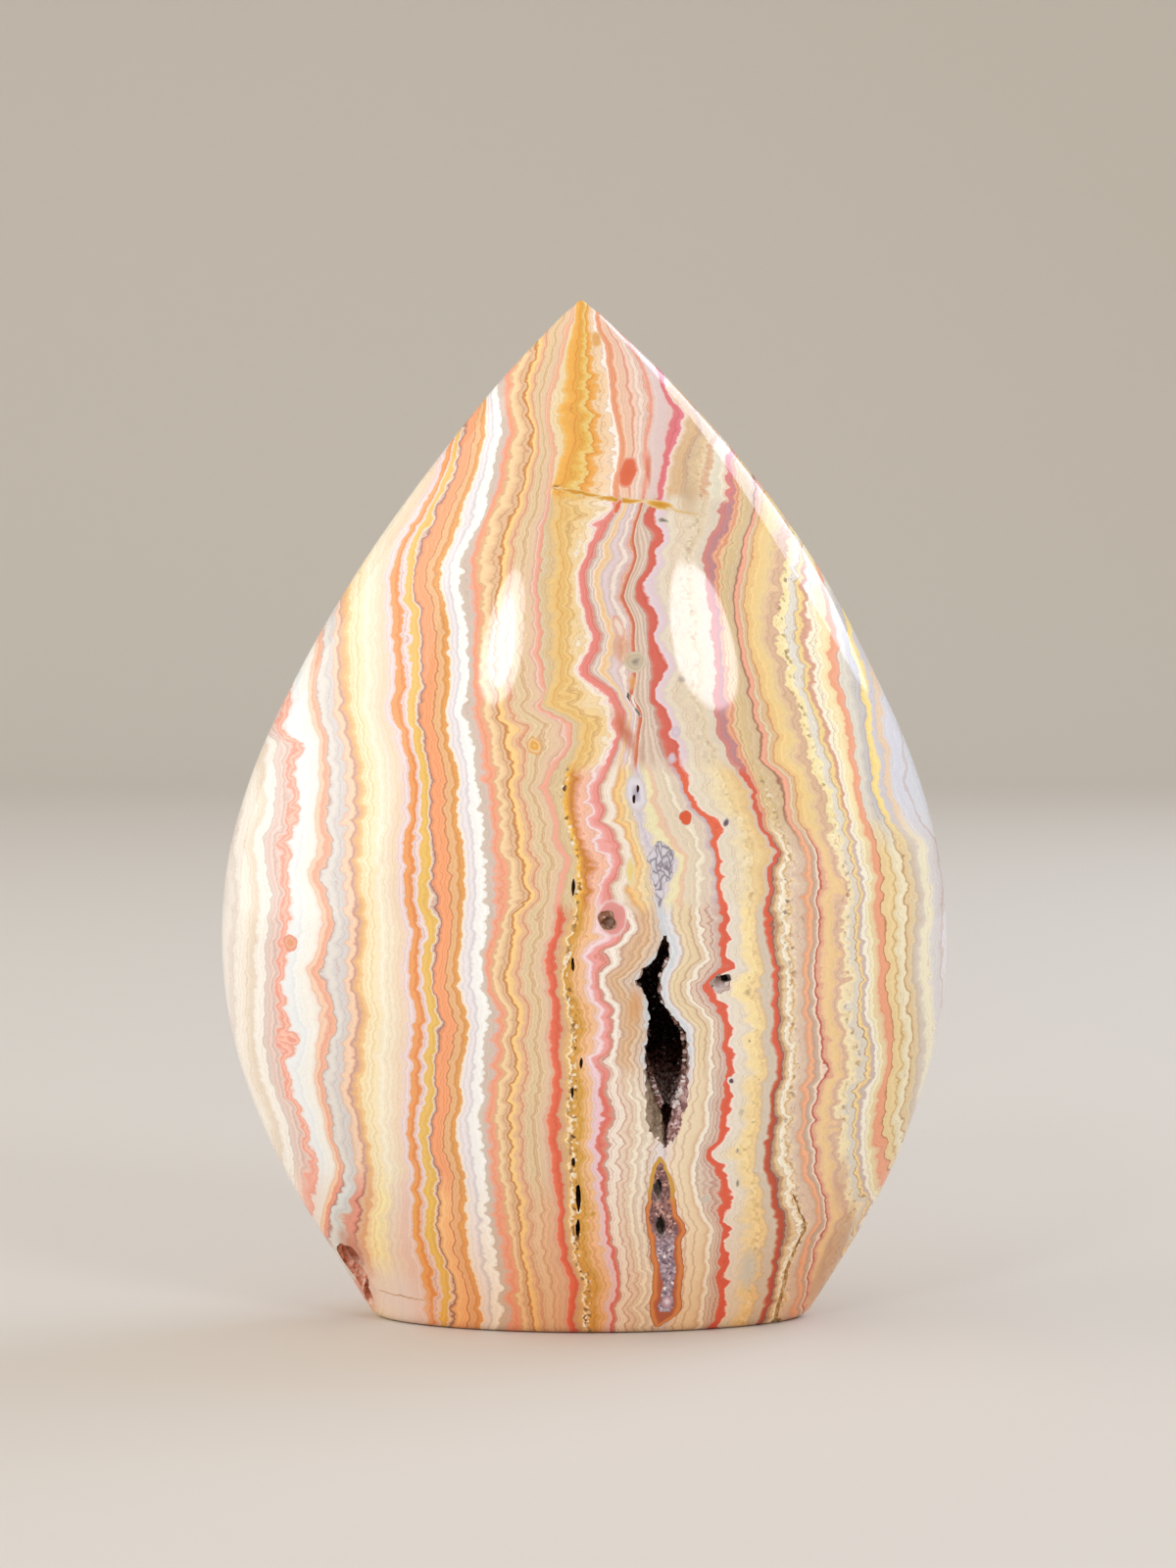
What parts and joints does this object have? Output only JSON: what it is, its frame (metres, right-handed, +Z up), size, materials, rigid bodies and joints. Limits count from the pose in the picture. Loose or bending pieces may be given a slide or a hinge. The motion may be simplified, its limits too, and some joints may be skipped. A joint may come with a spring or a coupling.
{
  "type": "polished agate flame",
  "caption": "Hand-sized polished flame of banded lace agate that stands on a flat base, with a crystal-lined hollow in its front face.",
  "frame": {"origin": "on the flat base, under the middle of the stone's width and thickness", "axes": "+Z up to the pointed tip, -Y out of the front face with the hollow, +X to the right seen from the front"},
  "size_m": [0.0678, 0.033, 0.095],
  "materials": {
    "polished_agate": "polished",
    "quartz_druse": "gloss"
  },
  "bodies": {
    "root": {"agate_flame": "polished_agate", "quartz_druse": "quartz_druse"}
  },
  "joints": []
}
